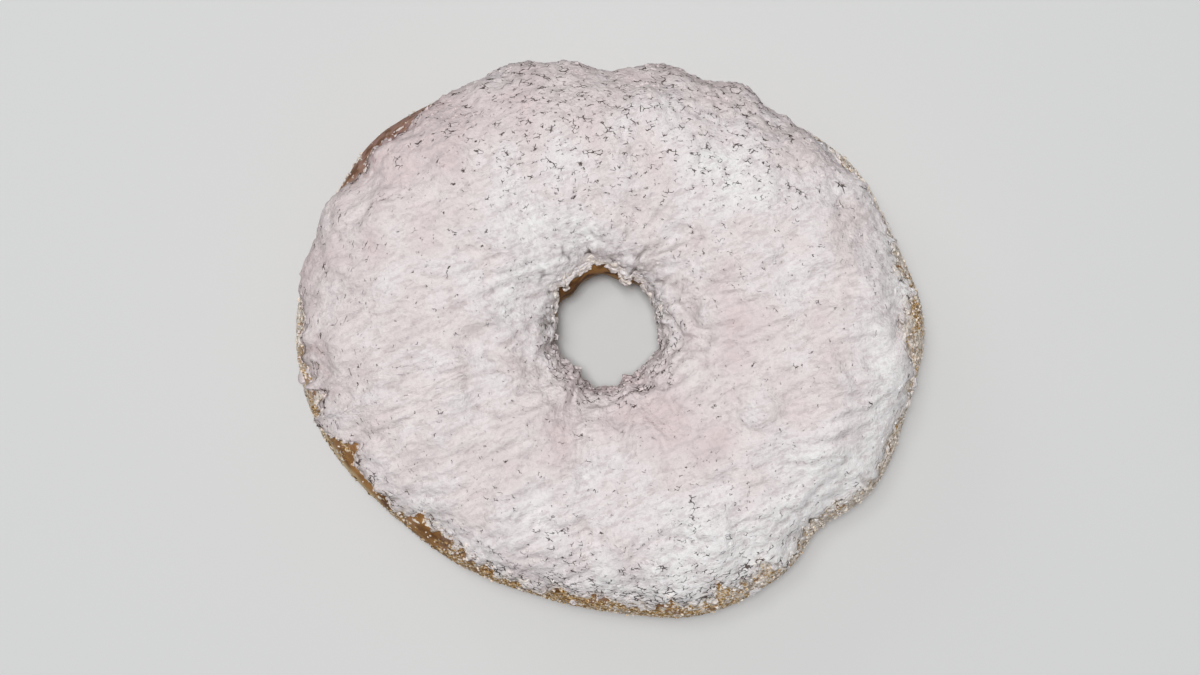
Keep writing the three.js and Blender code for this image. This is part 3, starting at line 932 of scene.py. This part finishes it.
class DOUGHNUT_OT_sugar_grains(Operator):
    """Make the loose grains on the rim and the coat, and the small clumps along the coat's edges"""

    bl_idname = "doughnut.sugar_grains"
    bl_label = "Sugar grains"

    def execute(self, context):
        ring, sugar = context.scene.doughnut_ring, context.scene.doughnut_sugar
        random = np.random.default_rng(GRAIN_SEED)
        self.rim_grains(ring, sugar, random)
        self.coat_grains(ring, sugar, random)
        self.edge_clumps(ring, sugar, random)
        return {"FINISHED"}

    def rim_grains(self, ring, sugar, random):
        """Grains stuck to the bare crust between the coat's edge and a little below the widest line."""
        theta = random.uniform(0, 2 * np.pi, sugar.rim_grains)
        below = random.uniform(0, 1, sugar.rim_grains) ** 1.2
        edge = np.degrees(coat_angle(theta, 0 * theta))
        phi = np.radians(lerp(edge + 4, GRAINS_DOWN_TO, below))
        keep = random.uniform(0, 1, len(theta)) < height_along(RIM_COVER, theta) * (1 - 0.6 * below)
        theta, phi, below = theta[keep], phi[keep], below[keep]
        sizes = grain_sizes(random, len(theta), 0.34, 0.35, 0.2, 0.9)
        places = ring_point(ring, theta, phi, 0.12 * MM + sizes * 0.1)
        soak = 0.45 + 0.4 * below + random.normal(0, 0.2, len(theta))
        away = outward(ring, theta, phi)
        golden = height_along(RIM_GOLD, theta) * random.uniform(0.2, 1.1, len(theta))
        make_grains("rim_grains", places, away, sizes, 0.9, soak, golden, random, sugar, icosahedron())

    def coat_grains(self, ring, sugar, random):
        """Flat clumps half sunk in the coat, thickest where it is speckled and towards the rim."""
        theta = random.uniform(0, 2 * np.pi, sugar.coat_grains)
        share = random.uniform(0.01, 0.99, sugar.coat_grains)
        rough = ring_point(ring, theta, coat_angle(theta, share), 0.0)
        keep = random.uniform(0, 45 * MM, len(theta)) < from_axis(rough) * (1.1 * speckling(rough) - 0.1)
        theta, share = theta[keep], share[keep]
        sizes = grain_sizes(random, len(theta), 0.6, 0.3, 0.35, 1.2)
        places, away = on_coat(ring, sugar, theta, share, sizes * 0.1)
        none = np.zeros(len(theta))
        make_grains("coat_grains", places, away, sizes, 0.7, none, none, random, sugar, icosahedron())

    def edge_clumps(self, ring, sugar, random):
        """Small clumps along both torn edges of the coat, and the big clumps on the rim."""
        theta = random.uniform(0, 2 * np.pi, sugar.lip_clumps)
        at_hole = random.uniform(0, 1, len(theta)) < AT_HOLE
        inwards = np.abs(random.normal(0, 0.025, len(theta)))
        share = np.where(at_hole, 1 - 1.6 * inwards, inwards)
        sizes = np.where(at_hole, 0.9, 0.7) * grain_sizes(random, len(theta), 1, 0.3, 0.5, 1.9)
        places, away = on_coat(ring, sugar, theta, share, sizes * 0.2)
        at, up, wide = np.array(RIM_LUMPS, float).T
        big_theta, big_phi = np.radians(at), np.radians(up)
        big_places = ring_point(ring, big_theta, big_phi, 0.05 * wide * MM)
        places = np.concatenate([places, big_places])
        away = np.concatenate([away, outward(ring, big_theta, big_phi)])
        sizes = np.concatenate([sizes, wide * MM])
        soak = np.concatenate([random.normal(0.2, 0.2, len(theta)), 0 * at])
        golden = np.concatenate([np.where(at_hole, 0, 0.4), 0.2 + 0 * at])
        ball = finer(*icosahedron())
        make_grains("edge_clumps", places, away, sizes, 0.65, soak, golden, random, sugar, ball)


# Materials
def add_node(tree, kind, sockets=(), output=None, **settings):
    """Adds one shader node and gives back one of its outputs, the first in use unless another is named.
    Settings are the node's own properties. Sockets maps the names or numbers of its inputs in use to
    a value, or to another node's output, which is then linked."""
    node = tree.nodes.new("ShaderNode" + kind)
    for name, value in settings.items():
        setattr(node, name, value)
    inputs = [socket for socket in node.inputs if socket.enabled]
    for name, value in dict(sockets).items():
        socket = inputs[name] if isinstance(name, int) else next(one for one in inputs if one.name == name)
        if isinstance(value, NodeSocket):
            tree.links.new(value, socket)
        else:
            socket.default_value = value
    return next((one for one in node.outputs if one.enabled and output in (None, one.name)), None)


def new_material(name):
    """A new material without nodes, and the function that adds nodes to it."""
    material = bpy.data.materials.new(name)
    material.use_nodes = True
    material.node_tree.nodes.clear()
    return material, functools.partial(add_node, material.node_tree)


def per_metre(length):
    """The texture scale whose pattern repeats about once in a length."""
    return 1 / length


def crust_material(ring, sugar):
    """Fried yeast dough: hot fat sets and browns the outer millimetre into a smooth skin with small
    blisters and pores, whose oily shine the sugar has dulled. A veil of fine sugar greys it where it
    faces up."""
    material, add = new_material("fried_yeast_dough")
    place = add("TexCoord", output="Object")
    brown, veiled, darker, melted = [
        add("Attribute", output="Fac", attribute_name=name)
        for name in ("browning", "dusting", "darkening", "melting")
    ]
    mottle = add("TexNoise", {"Vector": place, "Scale": per_metre(4 * MM), "Detail": 5, "Roughness": 0.6})
    fine = add("TexNoise", {"Vector": place, "Scale": per_metre(0.7 * MM), "Detail": 3, "Roughness": 0.6})
    patches = add("MapRange", {"Value": mottle, "From Min": 0.42, "From Max": 0.68})
    dark = add("Math", {0: patches, 1: darker}, operation="MAXIMUM")
    fried = add("Mix", {"Factor": dark, "A": ring.crust, "B": ring.dark_crust}, data_type="RGBA")
    colour = add("Mix", {"Factor": brown, "A": ring.pale_band, "B": fried}, data_type="RGBA")
    uneven = add("MapRange", {"Value": fine, "From Min": 0.4, "From Max": 0.66, "To Min": 1.0, "To Max": 0.5})
    glaze = add("Math", {0: melted, 1: uneven}, operation="MULTIPLY")
    grain = add("MapRange", {"Value": fine, "From Min": 0.35, "From Max": 0.75})
    veil = add("Math", {0: veiled, 1: grain}, operation="MULTIPLY")
    for share, over in ((glaze, sugar.melted), (veil, sugar.shade)):
        colour = add("Mix", {"Factor": share, "A": colour, "B": over}, data_type="RGBA")
    bump = add("Bump", {"Height": fine, "Strength": 0.5, "Distance": 0.08 * MM})
    finish = {"Base Color": colour, "Roughness": 0.6, "IOR": 1.45, "Specular IOR Level": 0.08, "Normal": bump}
    add("OutputMaterial", {"Surface": add("BsdfPrincipled", finish)})
    return material


def sugar_material(sugar):
    """Icing sugar: milled crystals a few hundredths of a millimetre wide, caked by the crust's damp.
    They scatter light with no shine, so it is a chalky off-white, faintly pinkish where it has drawn in
    fat and creamy where it is fused to the crust. Painted shade darkens it in hollows, creases, the
    bump's low spots, the gaps between lumps and the crevices, and down cracks with the crust seen there;
    the pinkish share holds painted shade and painted light as well."""
    found = bpy.data.materials.get("caked_icing_sugar")
    if found:
        return found
    material, add = new_material("caked_icing_sugar")
    place = add("TexCoord", output="Object")
    crack_place = add("Attribute", output="Vector", attribute_name="crack_place")
    speckled, pink_and_shade, hollow, soak, cleft, stain, fused, melted = [
        add("Attribute", output="Fac", attribute_name=name)
        for name in ("speckling", "pinkness", "hollow", "soak", "cleft", "stain", "fused", "melting")
    ]
    # The crystals are too fine to show, so the powder is drawn as coarse as the smallest clumps
    powder = add("TexNoise", {"Vector": place, "Scale": per_metre(0.55 * MM), "Detail": 3, "Roughness": 0.65})
    # Painted shade: greyer where the powder's bump lies low
    grey = add("MapRange", {"Value": powder, "From Min": 0.62, "From Max": 0.38, "To Max": 0.24})
    # Fine creases run the way of the ripples
    turned = {"Vector": place, "Rotation": (0, 0, sugar.ripple_way), "Scale": (2.6, 1, 1)}
    along = add("Mapping", turned, vector_type="TEXTURE")
    drawn = {"Vector": along, "Scale": per_metre(0.85 * MM), "Detail": 3, "Roughness": 0.65}
    strokes = add("TexNoise", drawn)
    # Painted shade: the low sides of the strokes' bump take the crease colour
    stroke_crease_shade = add("MapRange", {"Value": strokes, "From Min": 0.5, "From Max": 0.38, "To Max": 0.44})
    # Painted shade from the bump's low spots and the hollows, as one share of the crease colour
    low_spot_shade = add("Math", {0: grey, 1: stroke_crease_shade}, operation="ADD")
    shading = add("Math", {0: hollow, 1: 0.4, 2: low_spot_shade}, operation="MULTIPLY_ADD", use_clamp=True)
    # Cracks follow the borders of bent cells, and only show where a second pattern lets them open. Their dark
    # is the crust down in them together with painted shade.
    bend = add("TexNoise", {"Vector": crack_place, "Scale": per_metre(0.9 * MM), "Detail": 1}, output="Color")
    bent = add("VectorMath", {0: bend, 1: (0.9 * MM,) * 3, 2: crack_place}, operation="MULTIPLY_ADD")
    border = add("TexVoronoi", {"Vector": bent, "Scale": per_metre(0.95 * MM)}, feature="DISTANCE_TO_EDGE")
    opening = add("TexNoise", {"Vector": crack_place, "Scale": per_metre(1.2 * MM), "Detail": 1.5})
    opens_at = add("MapRange", {"Value": speckled, "From Max": 1.6, "To Min": 0.69, "To Max": 0.425})
    above = add("Math", {0: opening, 1: opens_at}, operation="SUBTRACT", use_clamp=True)
    reach = add("MapRange", {"Value": above, "From Max": 0.16, "To Min": 0.01, "To Max": 0.065})
    inside = add("Math", {0: reach, 1: border}, operation="SUBTRACT")
    dark = add("MapRange", {"Value": inside, "From Min": -0.018, "From Max": 0.03, "To Max": 0.92})
    cracked = add("Math", {0: above, 1: 0.0}, operation="GREATER_THAN")
    open_share = add("Math", {0: dark, 1: cracked}, operation="MULTIPLY")
    # Pinholes dot the coat all over, in patches. Their dark is the crust down in them together with painted
    # shade.
    holes = {"Vector": bent, "Scale": per_metre(1.1 * MM)}
    hole_middle = add("TexVoronoi", holes, output="Distance", feature="F1")
    pinhole = add("MapRange", {"Value": hole_middle, "From Min": 0.15, "From Max": 0.06, "To Max": 0.4})
    pitted = add("MapRange", {"Value": opening, "From Min": 0.46, "From Max": 0.54})
    is_coat = add("Math", {0: speckled, 1: 0.05}, operation="GREATER_THAN")
    has_pits = add("Math", {0: pitted, 1: is_coat}, operation="MULTIPLY")
    pits = add("Math", {0: pinhole, 1: has_pits}, operation="MULTIPLY")
    # The gaps between lumps take the same dark, as painted shade
    split = add("Math", {0: open_share, 1: cleft}, operation="MAXIMUM")
    dark_share = add("Math", {0: split, 1: pits}, operation="MAXIMUM")
    # Fused sugar is a fine mottle of cream, gold and brown grains, with brown seams between lumps that are
    # partly painted shade
    grit = add("TexNoise", {"Vector": place, "Scale": per_metre(0.42 * MM), "Detail": 2, "Roughness": 0.7})
    gold_above = add("MapRange", {"Value": fused, "To Min": 0.8, "To Max": 0.4})
    gilt = add("Math", {0: grit, 1: gold_above}, operation="SUBTRACT")
    gold_share = add("MapRange", {"Value": gilt, "From Min": 0.0, "From Max": 0.06})
    brown_share = add("MapRange", {"Value": gilt, "From Min": 0.12, "From Max": 0.17, "To Max": 0.85})
    seam = add("TexVoronoi", holes, feature="DISTANCE_TO_EDGE")
    in_seam = add("MapRange", {"Value": seam, "From Min": 0.06, "From Max": 0.02, "To Max": 0.7})
    is_fused = add("Math", {0: fused, 1: 0.05}, operation="GREATER_THAN")
    seams_open = add("MapRange", {"Value": opening, "From Min": 0.44, "From Max": 0.54})
    has_seams = add("Math", {0: is_fused, 1: seams_open}, operation="MULTIPLY")
    seam_shade_share = add("Math", {0: in_seam, 1: has_seams}, operation="MULTIPLY")
    dark_grit_and_seam_shade = add("Math", {0: brown_share, 1: seam_shade_share}, operation="MAXIMUM")
    stain_and_shade_share = add("Math", {0: stain, 1: dark_grit_and_seam_shade}, operation="MAXIMUM")
    # The colours lie over the dry white one by one, painted shade among them, up to the crust and painted
    # shade down the cracks
    colour = sugar.white
    layers = (
        (pink_and_shade, sugar.shade), (shading, sugar.crease_shade), (soak, sugar.soaked), (gold_share, sugar.golden),
        (stain_and_shade_share, sugar.stain), (melted, sugar.melted), (dark_share, sugar.crack),
    )
    for share, over in layers:
        colour = add("Mix", {"Factor": share, "A": colour, "B": over}, data_type="RGBA")
    rough = add("Math", {0: strokes, 1: 0.8, 2: powder}, operation="MULTIPLY_ADD")
    sunk = add("Math", {0: rough, 1: dark_share}, operation="SUBTRACT")
    bump = add("Bump", {"Height": sunk, "Strength": 1.0, "Distance": 0.235 * MM})
    finish = {"Base Color": colour, "Roughness": 1.0, "IOR": 1.5, "Specular IOR Level": 0.0, "Normal": bump}
    add("OutputMaterial", {"Surface": add("BsdfPrincipled", finish)})
    return material


def floor_material(stage):
    """Painted board: a plain matte pale grey."""
    material, add = new_material("matte_painted_board")
    finish = {"Base Color": stage.floor, "Roughness": 0.9}
    add("OutputMaterial", {"Surface": add("BsdfPrincipled", finish)})
    return material


# Floor, light and camera. The photograph is taken from straight above. In it the ring is 624 of 1200
# pixels wide, and its box lies 10 pixels right of the picture's middle and half a pixel below it.
PICTURE_WIDTH = 1200
RING_WIDTH_PIXELS = 624
RING_RIGHT_PIXELS = 10
RING_DOWN_PIXELS = 0.5
SENSOR_WIDTH = 36
FLOOR_HALF = 1.5
FLOOR_GAP = 0.05 * MM
LAMP_DISTANCE = 1.2
LAMPS_FROM = math.radians(130)
# Each lamp's name, the setting with its power, its size in metres and its lean
LAMPS = (
    ("overhead_light", "overhead", 0.15, math.radians(2)),
    ("leaning_light", "key", 0.2, math.radians(10)),
    ("raking_light", "rake", 0.6, math.radians(50)),
)


class DOUGHNUT_OT_stage(Operator):
    """Make the plain floor, the soft light from above and the camera"""

    bl_idname = "doughnut.stage"
    bl_label = "Floor, light and camera"

    def execute(self, context):
        scene, stage = context.scene, context.scene.doughnut_stage
        square = ((-1, -1), (1, -1), (1, 1), (-1, 1))
        corners = [(x * FLOOR_HALF, y * FLOOR_HALF, -FLOOR_GAP) for x, y in square]
        mesh = bpy.data.meshes.new("floor")
        mesh.from_pydata(corners, [], [(0, 1, 2, 3)])
        mesh.materials.append(floor_material(stage))
        add_object("floor", mesh)
        for name, power, size, lean in LAMPS:
            self.add_lamp(name, getattr(stage, power), size, lean)
        scene.world = bpy.data.worlds.new("even_light")
        scene.world.use_nodes = True
        background = scene.world.node_tree.nodes["Background"]
        background.inputs["Color"].default_value = (1, 1, 1, 1)
        background.inputs["Strength"].default_value = stage.fill
        self.add_camera(scene, stage, scene.doughnut_ring)
        scene.view_settings.view_transform = "Standard"
        return {"FINISHED"}

    def add_lamp(self, name, power, size, lean):
        """A square lamp that faces the ring from a distance, leaning from straight above towards the
        picture's upper left."""
        lamp = bpy.data.lights.new(name, "AREA")
        lamp.shape = "SQUARE"
        lamp.size = size
        lamp.energy = power
        light = add_object(name, lamp)
        sideways, up = LAMP_DISTANCE * math.sin(lean), LAMP_DISTANCE * math.cos(lean)
        light.location = (sideways * math.cos(LAMPS_FROM), sideways * math.sin(LAMPS_FROM), up)
        light.rotation_euler = (0, lean, LAMPS_FROM)

    def add_camera(self, scene, stage, ring):
        """The camera looks straight down from where the ring's box is as wide as in the photograph."""
        low, high = CAD_BOX
        metres_per_pixel = (high[0] - low[0]) / RING_WIDTH_PIXELS
        distance = metres_per_pixel * PICTURE_WIDTH * stage.lens / SENSOR_WIDTH
        camera_data = bpy.data.cameras.new("camera")
        camera_data.lens = stage.lens
        camera_data.sensor_width = SENSOR_WIDTH
        camera = add_object("camera", camera_data)
        camera.location = (
            (low[0] + high[0]) / 2 - RING_RIGHT_PIXELS * metres_per_pixel,
            (low[1] + high[1]) / 2 + RING_DOWN_PIXELS * metres_per_pixel,
            ring.equator + distance,
        )
        scene.camera = camera


class DOUGHNUT_PT_panel(Panel):
    """The doughnut's settings and the buttons that make its pieces"""

    bl_label = "Sugared ring doughnut"
    bl_idname = "DOUGHNUT_PT_panel"
    bl_space_type = "VIEW_3D"
    bl_region_type = "UI"
    bl_category = "Doughnut"

    def draw(self, context):
        for group in SETTINGS:
            settings = getattr(context.scene, group)
            box = self.layout.box()
            for name in settings.bl_rna.properties.keys():
                if name not in ("rna_type", "name"):
                    box.prop(settings, name)
        for operator in OPERATORS:
            self.layout.operator(operator.bl_idname)


SETTINGS = {"doughnut_ring": RingSettings, "doughnut_sugar": SugarSettings, "doughnut_stage": StageSettings}
OPERATORS = (
    DOUGHNUT_OT_fried_ring,
    DOUGHNUT_OT_sugar_coat,
    DOUGHNUT_OT_fused_sugar,
    DOUGHNUT_OT_sugar_grains,
    DOUGHNUT_OT_stage,
)
CLASSES = (*SETTINGS.values(), *OPERATORS, DOUGHNUT_PT_panel)


def register():
    """Adds the settings, the operators and the panel."""
    for one in CLASSES:
        bpy.utils.register_class(one)
    for name, group in SETTINGS.items():
        setattr(bpy.types.Scene, name, PointerProperty(type=group))


def unregister():
    """Takes them out again."""
    for name in SETTINGS:
        delattr(bpy.types.Scene, name)
    for one in reversed(CLASSES):
        bpy.utils.unregister_class(one)


def main():
    """Makes every piece and the stage."""
    register()
    bpy.ops.doughnut.fried_ring()
    bpy.ops.doughnut.sugar_coat()
    bpy.ops.doughnut.fused_sugar()
    bpy.ops.doughnut.sugar_grains()
    bpy.ops.doughnut.stage()


if __name__ == "__main__":
    main()
